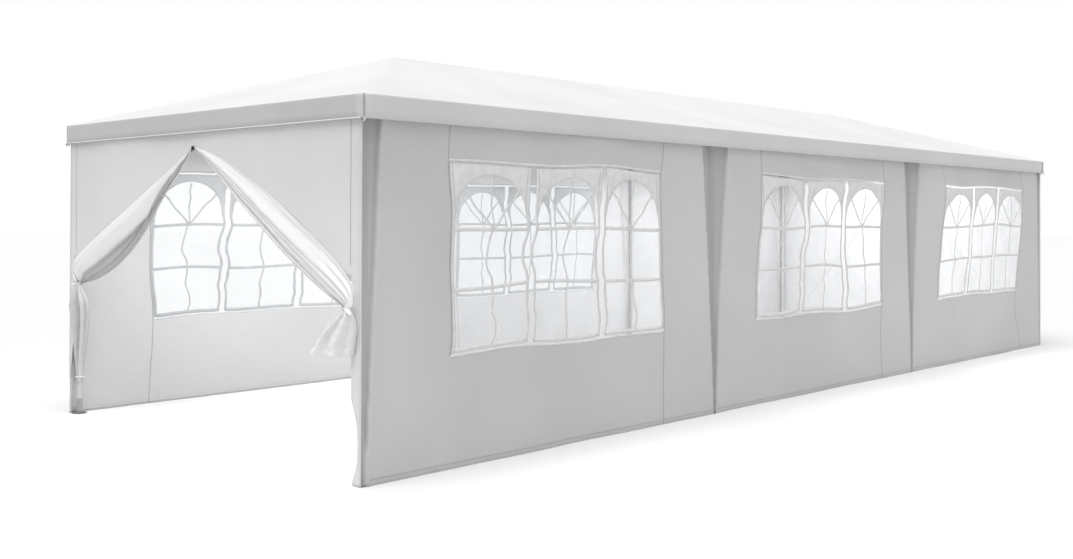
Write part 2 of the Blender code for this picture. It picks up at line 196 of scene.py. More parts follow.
def plug(tree, node, values):
    """Fills a node's sockets, by name or number: an output is linked, and a plain value is set."""
    for key, value in values.items():
        if hasattr(value, "node"):
            tree.links.new(value, node.inputs[key])
        else:
            node.inputs[key].default_value = value


def add_node(tree, kind, values=None, **settings):
    """Adds a shader node with these socket values and settings, and gives its outputs."""
    node = tree.nodes.new("ShaderNode" + kind)
    for key, value in settings.items():
        setattr(node, key, value)
    plug(tree, node, values or {})
    return node.outputs


def plain_material(name, colour, roughness, metallic=0.0):
    material, tree, shader, _ = node_material(name)
    plug(tree, shader, {"Base Color": (*colour, 1), "Roughness": roughness, "Metallic": metallic})
    return material


def object_coords(tree):
    return add_node(tree, "TexCoord")["Object"]


def math_node(tree, operation, a, b=0.0):
    return add_node(tree, "Math", {0: a, 1: b}, operation=operation)[0]


def noise_node(tree, coords, scale, detail=3.0, roughness=0.5):
    values = {"Vector": coords, "Scale": scale, "Detail": detail, "Roughness": roughness}
    return add_node(tree, "TexNoise", values)["Fac"]


def ramp(tree, fac, *stops):
    """Greys along a factor; a stop is (position, tone) or, off grey, (position, tone, blue's share)."""
    node = tree.nodes.new("ShaderNodeValToRGB")
    elements = node.color_ramp.elements
    while len(elements) < len(stops):
        elements.new(0.5)
    for element, (position, tone, *blue) in zip(elements, stops):
        element.position = position
        element.color = (tone, tone, tone * (blue[0] if blue else 1), 1)
    tree.links.new(fac, node.inputs["Fac"])
    return node.outputs["Color"]


def mix_colours(tree, factor, a, b, blend="MIX"):
    values = {"Factor": factor, "A": a, "B": b}
    return add_node(tree, "Mix", values, data_type="RGBA", blend_type=blend)["Result"]


def mix_shaders(tree, factor, a, b):
    return add_node(tree, "MixShader", {0: factor, 1: a, 2: b})[0]


def creases(tree, coords):
    """Fine lines of a wandering net that comes and goes over the cloth."""
    wander = add_node(tree, "TexNoise", {"Vector": coords, "Scale": 1.3})["Color"]
    values = {0: wander, 1: (0.9, 0.9, 0.9), 2: coords}
    bent = add_node(tree, "VectorMath", values, operation="MULTIPLY_ADD")[0]
    values = {"Vector": bent, "Scale": 1.7, "Randomness": 1.0}
    cells = add_node(tree, "TexVoronoi", values, feature="DISTANCE_TO_EDGE")
    line = ramp(tree, cells["Distance"], (0.0, 0), (0.012, 1))
    patch = ramp(tree, noise_node(tree, coords, 0.8, 2.0), (0.48, 0), (0.62, 1))
    return math_node(tree, "MULTIPLY", line, patch)


def weave(tree, coords):
    """The tape weave's little humps; the cloth runs along either wall, so along is x + y."""
    axes = add_node(tree, "SeparateXYZ", {0: coords})
    along = math_node(tree, "ADD", axes["X"], axes["Y"])
    weft, warp = (math_node(tree, "MULTIPLY", way, WEAVE_TURN) for way in (along, axes["Z"]))
    return math_node(tree, "MULTIPLY", math_node(tree, "SINE", weft), math_node(tree, "SINE", warp))


def bumped(tree, shader, shade_layers):
    """Chains bump nodes over (height, distance) layers into a shader's normal."""
    normal = {}
    for height, distance in shade_layers:
        bump = add_node(tree, "Bump", {"Height": height, "Distance": distance, **normal})
        normal = {"Normal": bump["Normal"]}
    plug(tree, shader, normal)


def cloth_material(name, tone, through, full_shade=0.82):
    """Coated woven sheet: tape weave, broad tone changes, crumple, and painted shade in folds, doubled
    cloth and faces turned from the light.
    """
    material, tree, shader, output = node_material(name)
    coords = object_coords(tree)
    low, high = tone * 0.94, min(1.0, tone * 1.03)
    base = ramp(tree, noise_node(tree, coords, 0.9, 4.0), (0.3, low, 1.004), (0.7, high, 1.004))
    # Painted shade: each point's shade attribute darkens the colour, down to the full-shade factor
    shade_layers = add_node(tree, "Attribute", attribute_name="shade_layers")["Fac"]
    shade = ramp(tree, shade_layers, (0.0, 1), (1.0, full_shade))
    colour = mix_colours(tree, 1.0, base, shade, "MULTIPLY")
    gloss = {"Roughness": 0.52, "Specular IOR Level": 0.35, "Sheen Weight": 0.08}
    plug(tree, shader, {"Base Color": colour, **gloss})
    crumple, fine = noise_node(tree, coords, 5.5, 6.0, 0.6), noise_node(tree, coords, 34.0, 3.0)
    heights = [(crumple, 0.008), (creases(tree, coords), 0.0012), (fine, 0.001)]
    bumped(tree, shader, heights + [(weave(tree, coords), 0.00008)])
    glow = add_node(tree, "BsdfTranslucent", {"Color": colour})[0]
    plug(tree, output, {"Surface": mix_shaders(tree, through, shader.outputs[0], glow)})
    return material


def clear_material(name):
    """Soft clear sheet: mostly see-through, with haze and a wet gloss."""
    material, tree, shader, output = node_material(name)
    coords = object_coords(tree)
    look = {"Base Color": (0.86, 0.87, 0.88, 1), "Roughness": 0.10, "Specular IOR Level": 0.8}
    plug(tree, shader, look)
    bumped(tree, shader, [(noise_node(tree, coords, 7.0, 3.0), 0.02)])
    clear = add_node(tree, "BsdfTransparent", {"Color": (0.97, 0.975, 0.98, 1)})[0]
    haze = ramp(tree, noise_node(tree, coords, 3.0, 5.0), (0.35, 0.05), (0.75, 0.18))
    plug(tree, output, {"Surface": mix_shaders(tree, haze, clear, shader.outputs[0])})
    return material


def coated_steel(name, tone, foot_tone=None):
    """Powder coat over tube, with faint orange peel and scuffs; foot_tone gives it a bare foot."""
    material, tree, shader, _ = node_material(name)
    coords = object_coords(tree)
    wear = noise_node(tree, coords, 9.0, 8.0, 0.7)
    colour = ramp(tree, wear, (0.30, tone * 0.86), (0.52, tone, 1.01))
    if foot_tone is not None:
        height = add_node(tree, "SeparateXYZ", {0: coords})["Z"]
        tenths = math_node(tree, "MULTIPLY", height, 10.0)
        up = ramp(tree, tenths, (0.16, 0.0), (0.19, 0.45), (0.97, 0.45), (1.0, 1.0))
        colour = mix_colours(tree, up, (foot_tone, foot_tone, foot_tone, 1), colour)
    rough = ramp(tree, wear, (0.3, 0.55), (0.7, 0.32))
    plug(tree, shader, {"Base Color": colour, "Metallic": 0.15, "Roughness": rough})
    bumped(tree, shader, [(noise_node(tree, coords, 260.0, 2.0), 0.0002), (wear, 0.0004)])
    return material


def thread_material(name, tone, scale=900.0):
    """Webbing, tape or cord: a fine rib and a soft tone change."""
    material, tree, shader, _ = node_material(name)
    coords = object_coords(tree)
    colour = ramp(tree, noise_node(tree, coords, 20.0, 4.0), (0.35, tone * 0.9), (0.65, tone))
    plug(tree, shader, {"Base Color": colour, "Roughness": 0.75})
    bumped(tree, shader, [(noise_node(tree, coords, scale, 1.0), 0.0003)])
    return material


# Building pieces


def ease(low, high, x):
    """0 up to low, 1 from high on, and smooth between them; low may be the larger."""
    t = min(1.0, max(0.0, (x - low) / (high - low)))
    return t * t * (3 - 2 * t)


def bell(off, width):
    """1 at the middle, and hardly anything further off than two widths."""
    return exp(-((off / width) ** 2))


def lerp(a, b, t):
    return a + (b - a) * t


def spread(start, end, step):
    """Evenly spaced numbers from start to end, no further apart than step."""
    count = max(1, ceil(abs(end - start) / step - 1e-9))
    return [lerp(start, end, i / count) for i in range(count + 1)]


def spread_over(stops, step):
    """Evenly spaced numbers over each stretch from one stop to the next."""
    return [stops[0]] + [x for a, b in zip(stops, stops[1:]) for x in spread(a, b, step)[1:]]


def ripple(u, v, scale, seed):
    return noise.noise(Vector((u * scale, v * scale, seed)))


def add_piece(
    name, points, faces, material, shade_layers=None, thickness=CLOTH_T, inner=None,
    body="tent", slot="wall_cloth",
):
    """A mesh piece that rides on a body; thickness gives it two faces, and inner is its back's look."""
    mesh = bpy.data.meshes.new(name)
    mesh.from_pydata([tuple(p) for p in points], [], faces)
    # Each point's amount of painted shade, kept for the cloth materials
    if shade_layers is not None:
        attribute = mesh.attributes.new("shade_layers", "FLOAT", "POINT")
        attribute.data.foreach_set("value", shade_layers)
    mesh.materials.append(material)
    if inner:
        mesh.materials.append(inner)
    mesh.shade_smooth()
    obj = bpy.data.objects.new(name, mesh)
    bpy.context.scene.collection.objects.link(obj)
    solid = obj.modifiers.new("Solidify", "SOLIDIFY")
    solid.thickness = thickness
    solid.offset = 0
    solid.material_offset = 1 if inner else 0
    if body:
        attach(obj, body)
    return obj


def apply_modifiers(obj):
    """Makes what the modifiers give the object's own mesh."""
    bpy.context.view_layer.update()
    seen = obj.evaluated_get(bpy.context.evaluated_depsgraph_get())
    mesh = bpy.data.meshes.new_from_object(seen)
    obj.modifiers.clear()
    obj.data = mesh


def grid_faces(rows, columns, wrap=False, start=0, skip=None):
    """Quads over rows of points; skip(row, column) leaves one out, and wrap closes each row."""
    faces = []
    for r in range(rows - 1):
        for c in range(columns if wrap else columns - 1):
            if skip and skip(r, c):
                continue
            d = (c + 1) % columns
            a = start + r * columns
            faces.append((a + c, a + d, a + columns + d, a + columns + c))
    return faces


class Ribbons:
    """Collects flat strips along paths on a surface into one mesh."""

    def __init__(self, place):
        self.place = place
        self.points = []
        self.faces = []

    def strip(self, start, end, width, lift, step=0.02):
        """A straight strip of a width between two (across, up) points, lifted off the surface."""
        start, end = Vector(start), Vector(end)
        way = (end - start).normalized()
        side = Vector((-way.y, way.x)) * width / 2
        shares = spread(0, 1, step / max((end - start).length, step))
        middles = [start.lerp(end, t) for t in shares]
        self.patch([[p - side, p + side] for p in middles], lift)

    def patch(self, columns, lift):
        """Quads between columns of (across, up) points, all with the same number of points."""
        start = len(self.points)
        for column in columns:
            self.points += [self.place(x, z, lift) for x, z in column]
        self.faces += grid_faces(len(columns), len(columns[0]), start=start)

    def finish(self, name, material, thickness=0.0003, **settings):
        return add_piece(name, self.points, self.faces, material, thickness=thickness, **settings)


# Roof cover


def roof_sag(x, y, inset):
    """How far the cloth hangs between the rafters, hips, ridge and eaves."""
    rise = sin(pi * min(1.0, inset / ROOF_Y))
    hip_x = ROOF_X - inset
    if ROOF_Y - abs(y) <= ROOF_X - abs(x) + 1e-6:
        stops = [-hip_x, LEG_X[1], LEG_X[2], hip_x]
        for low, high in zip(stops, stops[1:]):
            if low <= x <= high:
                return 0.018 * rise * sin(pi * (x - low) / max(high - low, 0.01))
        return 0.0
    half = max(ROOF_Y - inset, 0.01)
    return 0.014 * rise * cos(0.5 * pi * y / half)


def roof_ring(inset):
    """Points (x, y) round a rectangle inset from the eaves, its corners on the hips."""
    half_x, half_y = ROOF_X - inset, max(ROOF_Y - inset, 0.0)
    corners = [(-half_x, -half_y), (half_x, -half_y), (half_x, half_y), (-half_x, half_y)]
    ring = []
    for i, count in enumerate((ROOF_LONG, ROOF_SHORT) * 2):
        (x0, y0), (x1, y1) = corners[i], corners[(i + 1) % 4]
        ring += [(lerp(x0, x1, k / count), lerp(y0, y1, k / count)) for k in range(count)]
    return ring


def valance_point(x, y, drop):
    """(where a point of the valance lies, how much painted shade it gets); it sways between the corners.
    """
    z = EAVE_Z - drop
    on_side = abs(abs(y) - ROOF_Y) < 1e-6
    along, from_corner = (x, ROOF_X - abs(x)) if on_side else (y, ROOF_Y - abs(y))
    free = ease(0.0, 0.35, from_corner)
    sway = ripple(along, y * 0.1 + x * 0.01, 1.3, 5.1) * 0.010 + ripple(along, z * 3, 5.0, 9.4) * 0.004
    out = sway * free * drop / VALANCE
    nx = copysign(1, x) if not on_side or free == 0 else 0
    ny = copysign(1, y) if on_side else 0
    # Painted shade: the ends darker than the sides, and darker again on the doubled hem
    hem = drop > VALANCE_HEM
    shade = (0.52 if hem else 0.42) if on_side else (0.9 if hem else 0.76)
    return (x + nx * out, y + ny * out, z), shade


def add_roof(looks):
    points, shade_layers = [], []
    for drop in VALANCE_DROPS:
        for x, y in roof_ring(0.0):
            point, shade = valance_point(x, y, drop)
            points.append(point)
            shade_layers.append(shade)
    for r in range(ROOF_RINGS + 1):
        inset = ROOF_EDGE + (ROOF_Y - ROOF_EDGE) * r / ROOF_RINGS
        for x, y in roof_ring(inset):
            z = EAVE_Z + ROOF_SLOPE * inset - roof_sag(x, y, inset)
            z += 0.0016 * ripple(x, y, 3.0, 2.2) * sin(pi * inset / ROOF_Y)
            points.append((x, y, z))
            shade_layers.append(0.0)
    rows, columns = len(VALANCE_DROPS) + ROOF_RINGS + 1, 2 * (ROOF_LONG + ROOF_SHORT)
    faces = grid_faces(rows, columns, wrap=True)
    roof = add_piece("roof_cloth", points, faces, looks["roof"], shade_layers, slot="roof_cloth")
    merge(roof)
    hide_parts("roof_cover")
    trims = valance_trims(looks)


def valance_trims(looks):
    """A covered seam down each corner of the valance, and a bound edge along its foot at the ends."""
    trims = []
    for hand, sign in SIDES.items():
        ribbons = Ribbons(lambda x, z, lift, s=sign: Vector((x, s * (ROOF_Y + 0.004 + lift), z)))
        for end in ENDS.values():
            x = end * (ROOF_X - 0.004)
            ribbons.strip((x, EAVE_Z), (x, EAVE_Z - VALANCE), 0.010, 0.0)
        trims.append(ribbons.finish(f"valance_seams_{hand}", looks["seam"], slot="roof_cloth"))
    for end, sign in ENDS.items():
        ribbons = Ribbons(lambda y, z, lift, s=sign: Vector((s * (ROOF_X + 0.004 + lift), y, z)))
        foot = EAVE_Z - VALANCE + 0.004
        ribbons.strip((-ROOF_Y + 0.01, foot), (ROOF_Y - 0.01, foot), 0.006, 0.002)
        piping = ribbons.finish(f"valance_piping_{end}", looks["binding"], 0.003, slot="roof_cloth")
        trims.append(piping)
    return trims


def edit_mesh(obj, work):
    """Does some work on an object's mesh as a bmesh."""
    shape = bmesh.new()
    shape.from_mesh(obj.data)
    work(shape)
    shape.to_mesh(obj.data)
    shape.free()


def merge(obj):
    """Joins points that meet, such as those of the two slopes along the ridge."""

    def join(shape):
        bmesh.ops.remove_doubles(shape, verts=shape.verts, dist=1e-5)
        bmesh.ops.dissolve_degenerate(shape, edges=shape.edges, dist=1e-6)

    edit_mesh(obj, join)


# Side walls


def leg_fold(x, z):
    """(how far in it is, how much painted shade it gets) where the cloth is drawn in along a leg."""
    height = (z - HEM_Z) / (WALL_TOP - HEM_Z)
    deepest = (0.0, 0.0)
    for i, leg in enumerate(LEG_X):
        corner = i in (0, BAYS)
        if corner and (x < 0) != (leg < 0):
            continue
        away = HALF_LENGTH - abs(x) if corner else abs(x - leg)
        half = lerp(0.030, 0.126, height) if corner else lerp(0.013, 0.158, height ** 1.15)
        if away > half + 0.02:
            continue
        inside = ease(half + 0.003, half - 0.004, away)
        depth = lerp(0.014, 0.022, height)
        off_pleat = x - leg + half * 0.30 * (not corner)
        pleat = 0.006 * bell(off_pleat, 0.014) * ease(0.05, 0.5, height)
        crumple = 0.006 * ripple(x * 3, z, 14.0, 3.3) * (1 - ease(0.22, 0.42, z)) * (z > 0.05)
        # Painted shade in the fold: darker along a line beside the leg and towards the foot; at a
        # corner, a darker rim along its edge and less shade low down
        dark = bell(off_pleat, 0.035) * (not corner)
        shade = inside * (0.70 + 0.30 * dark + 0.3 * (1 - ease(0.3, 0.8, z)))
        if corner:
            rim = bell(away - half * 0.9, 0.010)
            shade *= lerp(0.60, 1.0, ease(0.45, 0.95, height)) + 0.35 * rim
        deepest = (inside * (depth + pleat + crumple), min(1.2, shade))
    return deepest


def side_surface(hand, bay):
    """Where cloth point (x, z) of a side wall lies, with its ripples and leg folds."""
    sign = SIDES[hand]
    low, high = wall_span(bay)
    seed = 3.7 * bay + (0.0 if hand == "right" else 41.0)

    def place(x, z, lift=0.0):
        edge = min(x - low, high - x)
        calm = ease(0.10, 0.50, edge) * ease(HEM_Z, HEM_Z + 0.45, z)
        calm *= 1 - ease(WALL_TOP - 0.32, WALL_TOP - 0.08, z)
        dx = calm * (0.062 * ripple(x, z * 1.5, 1.1, seed) + 0.008 * ripple(x, z, 6.0, seed + 2))
        slack = ease(0.0, 0.5, edge) * ease(HEM_Z, WINDOW_LOW, z)
        slack *= 1 - ease(WINDOW_TOP - 0.10, WALL_TOP, z)
        dx += slack * SKEW[hand][bay] * (z - (WINDOW_LOW + WINDOW_TOP) / 2)
        dz = calm * 0.026 * ripple(x, z, 1.6, seed + 5)
        swell = ease(0.0, 0.25, edge) * (1 - ease(WALL_TOP - 0.12, WALL_TOP, z))
        out = swell * (0.014 * ripple(x * 1.6, z * 0.8, 1.0, seed + 8))
        out += swell * 0.004 * ripple(x, z, 3.2, seed + 11)
        out -= leg_fold(x, z)[0]
        if bay and x - low < 2.5 * LAP:
            out -= LAP_BEHIND
        return Vector((x + dx, sign * (HALF_WIDTH - WALL_INSET + out + lift), z + dz))

    return place


def wall_span(bay):
    """A bay's cloth laps a little over the next one's at a leg."""
    low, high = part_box(f"side_wall_left_{bay + 1}")
    return low.x - (LAP if bay else 0.0), high.x + (LAP if bay < BAYS - 1 else 0.0)


def window_span(bay):
    at = middle(f"window_pane_left_{bay + 1}").x
    return at - WINDOW_HALF, at + WINDOW_HALF


def add_side_wall(hand, bay, looks):
    place = side_surface(hand, bay)
    low, high = wall_span(bay)
    left, right = window_span(bay)
    xs = spread_over((low, left, right, high), WALL_STEP)
    for at in [x for leg in LEG_X for x in (leg - FOLD_HALF, leg + FOLD_HALF) if low < x < high]:
        xs += [x for x in spread(at - FOLD_HALF, at + FOLD_HALF, FOLD_STEP) if low < x < high]
    xs = sorted(set(round(x, 4) for x in xs))
    xs = [x for i, x in enumerate(xs) if i == 0 or x - xs[i - 1] > 0.003]
    zs = spread_over((HEM_Z, WINDOW_LOW, WINDOW_TOP, WALL_TOP), WALL_STEP)
    points = [place(x, z) for z in zs for x in xs]
    # Painted shade in the folds along the legs
    shade_layers = [leg_fold(x, z)[1] for z in zs for x in xs]

    def in_window(r, c):
        x, z = (xs[c] + xs[c + 1]) / 2, (zs[r] + zs[r + 1]) / 2
        return left < x < right and WINDOW_LOW < z < WINDOW_TOP

    faces = grid_faces(len(zs), len(xs), skip=in_window)
    name = f"{hand}_{bay + 1}"
    # Painted shade: the face seen from outside gets the darker fold shade, the face seen from inside a
    # lighter one
    outer, inner = looks["wall"], looks["wall_inside"]
    if hand == "left":
        outer, inner = inner, outer
    wall = add_piece(f"wall_cloth_{name}", points, faces, outer, shade_layers, inner=inner)
    drop_unused_points(wall)
    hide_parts(f"side_wall_{name}")
    trims = add_wall_seams(name, place, low, high, left, right, looks)
    add_window(name, window_surface(place, left, right), left, right, looks)


def drop_unused_points(obj):
    """Deletes the points in the window's opening, which no face uses."""

    def drop(shape):
        unused = [v for v in shape.verts if not v.link_faces]
        bmesh.ops.delete(shape, geom=unused, context="VERTS")

    edit_mesh(obj, drop)


def add_wall_seams(name, place, low, high, left, right, looks):
    """Felled seams beside the window, the hem, and the window's stitched border."""
    seams = Ribbons(place)
    whole, short = left - 0.008, right + 0.008
    if name.startswith("right"):
        whole, short = short, whole
    seams.strip((whole, HEM_Z + 0.004), (whole, WALL_TOP), 0.006, 0.0)
    seams.strip((short, WINDOW_LOW), (short, WALL_TOP), 0.006, 0.0)
    hem = HEM_Z + 0.030
    seams.strip((low + 0.01, hem), (high - 0.01, hem), 0.0014, 0.0010)
    dark = seams.finish(f"wall_seams_{name}", looks["seam"], 0.0030)
    border = Ribbons(place)
    out = 0.006
    x0, x1, z0, z1 = left - out, right + out, WINDOW_LOW - out, WINDOW_TOP + out
    corners = [(x0, z0), (x1, z0), (x1, z1), (x0, z1)]
    for k, (a, b) in enumerate(zip(corners, corners[1:] + corners[:1])):
        border.strip(a, b, 0.005 if k % 2 else 0.012, 0.0012)
    light = border.finish(f"window_border_{name}", looks["binding"])
    return [dark, light]


# Windows


def window_surface(place, left, right):
    """The clear sheet lies a little behind the cloth, and flutes more than it does."""

    def at(x, z, lift=0.0):
        edge = min(x - left, right - x, z - WINDOW_LOW, WINDOW_TOP - z)
        calm = ease(0.0, 0.12, edge)
        flute = 0.008 * ripple(x * 3.0, z * 0.7, 2.0, 77.0) * calm
        sway = 0.050 * ripple(x * 0.9, z * 3.4, 1.5, left * 3.1) * calm
        sway += 0.014 * ripple(x * 1.2, z * 9.0, 1.5, left * 3.1 + 6) * calm
        return place(x + sway, z, flute - 0.0016 + lift)

    return at


def arch(middle_x, top, spring, half):
    """Columns of points that fill the space between a round arch and a straight top."""
    columns = []
    for k in range(ARCH_STEPS + 1):
        across = -half + 2 * half * k / ARCH_STEPS
        rise = sqrt(max(0.0, 1 - (across / half) ** 2)) * (top - ARCH_CROWN - spring)
        columns.append([(middle_x + across, lerp(spring + rise, top, j / 4)) for j in range(5)])
    return columns


def add_window(name, place, left, right, looks):
    """The clear sheet and, printed on it, three round-headed lights with their bars."""
    lap = 0.012
    xs = spread(left - lap, right + lap, WALL_STEP)
    zs = spread(WINDOW_LOW - lap, WINDOW_TOP + lap, WALL_STEP)
    points = [place(x, z) for z in zs for x in xs]
    pane = add_piece(
        f"clear_sheet_{name}", points, grid_faces(len(zs), len(xs)), looks["clear"],
        thickness=0.0004, slot="clear_sheet",
    )
    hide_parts(f"window_pane_{name}")
    height = WINDOW_TOP - WINDOW_LOW
    spring, low_bar = WINDOW_TOP - 0.30 * height, WINDOW_TOP - 0.66 * height
    hub_z = WINDOW_TOP - 0.36 * height
    gap, stile, bar, thin = 0.044, 0.022, 0.020, 0.014
    unit = (right - left + gap) / 3
    half = unit / 2 - gap / 2
    opening = half - stile
    lift = 0.0007
    printed = Ribbons(place)
    for k in range(3):
        middle_x = left - gap / 2 + unit * (k + 0.5)
        printed.patch(arch(middle_x, WINDOW_TOP - lap, spring, opening), lift)
        for side in (-1, 1):
            x = middle_x + side * (half - stile / 2)
            printed.strip((x, WINDOW_LOW + lap), (x, WINDOW_TOP - lap), stile, lift)
        for z, wide in ((hub_z, bar), (low_bar, bar), (WINDOW_LOW + 0.020, bar * 1.3)):
            printed.strip((middle_x - opening, z), (middle_x + opening, z), wide, lift + 0.0001)
        hub = Vector((middle_x, hub_z))
        for angle in (45, 90, 135):
            way = Vector((cos(radians(angle)), sin(radians(angle))))
            reach = opening * (1.22 if angle != 90 else 1.05)
            printed.strip(hub, hub + way * reach, thin, lift + 0.0002)
        printed.strip((middle_x, WINDOW_LOW + 0.02), (middle_x, hub_z), thin, lift + 0.0002)
    sides = [looks["print"], looks["print_back"]]
    if name.startswith("right"):
        sides.reverse()
    lattice = printed.finish(
        f"window_print_{name}", sides[0], 0.0002, inner=sides[1], slot="clear_sheet"
    )


# Front door: flaps drawn aside and tied

APEX = Vector((0.0, ZIP_TOP))
LEFT_LINES = {
    "top": [
        APEX, (0.075, 1.648), (0.297, 1.546), (0.570, 1.422), (0.886, 1.278), (1.165, 1.150),
        (1.385, 1.040), (1.440, 0.990), (1.395, 0.920), (1.338, 0.872),
    ],
    "low": [
        APEX, (0.140, 1.550), (0.234, 1.474), (0.341, 1.369), (0.476, 1.241), (0.628, 1.116),
        (0.772, 1.024), (0.919, 0.954), (1.114, 0.892), (1.325, 0.856),
    ],
}
RIGHT_LINES = {
    "top": [
        APEX, (-0.265, 1.625), (-0.532, 1.515), (-0.771, 1.396), (-0.997, 1.262), (-1.212, 1.135),
        (-1.375, 1.015), (-1.440, 0.935), (-1.425, 0.862),
    ],
    "low": [
        APEX, (-0.170, 1.592), (-0.336, 1.480), (-0.490, 1.374), (-0.638, 1.270), (-0.758, 1.191),
        (-0.873, 1.115), (-0.985, 1.048), (-1.112, 0.976), (-1.253, 0.905), (-1.400, 0.842),
    ],
}
# How far a flap stands out from its top line to its free edge, as a share of its depth
LEFT_ROLL = [
    (0.0, 0.0), (0.10, 0.20), (0.28, 0.66), (0.48, 0.94),
    (0.66, 1.0), (0.84, 0.84), (0.96, 0.48), (1.0, 0.26),
]
LEFT_UNDERSIDE = [(0.0, 0.26), (0.10, 0.16), (0.35, 0.30), (0.60, 0.22), (0.80, 0.28), (1.0, 0.10)]
RIGHT_SECTION = [
    (0.0, 0.0), (0.16, 0.10), (0.30, 0.50), (0.41, 0.90), (0.49, 1.0), (0.555, 0.70),
    (0.62, 0.90), (0.675, 0.60), (0.75, 0.80), (0.80, 0.58), (0.87, 0.68), (0.94, 0.62), (1.0, 0.34),
]
FLAP_DEPTH = {"left": 0.074, "right": 0.038}  # how far a flap stands out where it is deepest
# The tails below the ties, from the foot up: (up, middle, half width, depth, half depth)
LEFT_TAIL = [
    (0.214, 1.450, 0.019, -0.049, 0.019), (0.270, 1.448, 0.020, -0.049, 0.020),
    (0.340, 1.442, 0.028, -0.046, 0.024), (0.430, 1.424, 0.050, -0.038, 0.029),
    (0.540, 1.394, 0.080, -0.022, 0.034), (0.640, 1.366, 0.106, -0.004, 0.036),
    (0.730, 1.352, 0.106, 0.008, 0.034), (0.800, 1.346, 0.068, 0.016, 0.028),
    (0.862, 1.336, 0.018, 0.020, 0.018),
]
RIGHT_TAIL = [
    (0.622, -1.306, 0.146, 0.026, 0.052), (0.700, -1.350, 0.118, 0.028, 0.048),
    (0.770, -1.394, 0.082, 0.030, 0.038), (0.820, -1.418, 0.040, 0.030, 0.024),
    (0.856, -1.418, 0.018, 0.030, 0.016),
]
# The ties: name, middle as (out, across, up), radii, width and seed
TIES = [
    ("front_tie_left", (0.020, 1.334, 0.862), (0.020, 0.020), 0.010, 0.0),
    ("front_tie_right", (0.030, -1.416, 0.850), (0.022, 0.020), 0.013, 1.3),
]
# Their loose ends: root and tip as (out, across, up), and width
TIE_ENDS = [
    ("left", (0.034, 1.336, 0.866), (0.040, 1.362, 0.915), 0.016),
    ("left", (0.034, 1.330, 0.858), (0.036, 1.385, 0.850), 0.014),
    ("right", (0.046, -1.424, 0.852), (0.044, -1.492, 0.910), 0.040),
    ("right", (0.050, -1.428, 0.852), (0.060, -1.500, 0.828), 0.026),
]
# The inner edges of the strips beside the legs, from the foot up: (up, across)
STRIPS = {
    1: [(0.236, 1.480), (0.300, 1.470), (0.400, 1.452), (0.520, 1.440)],
    -1: [
        (HEM_Z, 1.424), (0.035, 1.432), (0.090, 1.456), (0.200, 1.466), (0.310, 1.454), (0.415, 1.418),
    ],
}


def hermite(a, b, slope_a, slope_b, s):
    """Between a and b at share s, leaving and arriving at slopes given per whole step."""
    return (
        a * (2 * s**3 - 3 * s**2 + 1) + slope_a * (s**3 - 2 * s**2 + s)
        + b * (-2 * s**3 + 3 * s**2) + slope_b * (s**3 - s**2)
    )


def curve_at(path, t):
    """A point on a smooth curve through (across, up) points; t runs from 0 to 1 by length."""
    path = [Vector(p) for p in path]
    lengths = [0.0]
    for a, b in zip(path, path[1:]):
        lengths.append(lengths[-1] + (b - a).length)
    at = min(1.0, max(0.0, t)) * lengths[-1]
    k = max(i for i in range(len(path) - 1) if lengths[i] <= at + 1e-9)
    span = lengths[k + 1] - lengths[k]
    p1, p2 = path[k], path[k + 1]
    p0 = path[k - 1] if k else p1 * 2 - p2
    p3 = path[k + 2] if k + 2 < len(path) else p2 * 2 - p1
    m1 = (p2 - p0) * (span / ((p2 - p1).length + (p1 - p0).length))
    m2 = (p3 - p1) * (span / ((p3 - p2).length + (p2 - p1).length))
    return hermite(p1, p2, m1, m2, min(1.0, (at - lengths[k]) / span))


def smooth_at(stops, at):
    """The values at a place of smooth lines through (place, value, ...) stops in rising order."""
    at = min(max(at, stops[0][0]), stops[-1][0])
    k = max(i for i in range(len(stops) - 1) if stops[i][0] <= at)
    (x1, *p1), (x2, *p2) = stops[k], stops[k + 1]
    x0, *p0 = stops[max(k - 1, 0)]
    x3, *p3 = stops[min(k + 2, len(stops) - 1)]
    s, span = (at - x1) / (x2 - x1), x2 - x1
    return [
        hermite(b, c, (c - a) / (x2 - x0) * span, (d - b) / (x3 - x1) * span, s)
        for a, b, c, d in zip(p0, p1, p2, p3)
    ]


def line_height(line, across):
    """How high a line of (across, up) points is at a distance from the middle."""
    for (a, za), (b, zb) in zip(line, line[1:]):
        if abs(a) <= across <= abs(b):
            return lerp(za, zb, (across - abs(a)) / max(abs(b) - abs(a), 1e-6))
    return line[-1][1]


def end_point(end, across, up, out):
    return Vector((ENDS[end] * (HALF_LENGTH - WALL_INSET + out), across, up))


def front_place(across, up, lift=0.0):
    edge = HALF_WIDTH - abs(across)
    calm = ease(0.0, 0.3, edge) * (1 - ease(WALL_TOP - 0.1, WALL_TOP, up))
    out = calm * 0.010 * ripple(across, up, 1.4, 88.0)
    near = bell(across, 0.20) * ease(WALL_TOP - 0.02, ZIP_TOP, up)
    out += 0.0035 * sin(across * 70) * near * ease(0.005, 0.05, abs(across))
    return end_point("front", across, up, out + lift)


def end_columns():
    """Evenly spaced places across an end wall."""
    edge = BACK_HIGH.y
    return [-edge + 2 * edge * k / END_COLUMNS for k in range(END_COLUMNS + 1)]


def end_seams(name, place, foot, material):
    """A stitched seam up each side of an end wall."""
    seams = Ribbons(place)
    for sign in SIDES.values():
        x = sign * (BACK_HIGH.y - 0.085)
        seams.strip((x, foot), (x, WALL_TOP), 0.005, 0.001)
    return seams.finish(name, material)


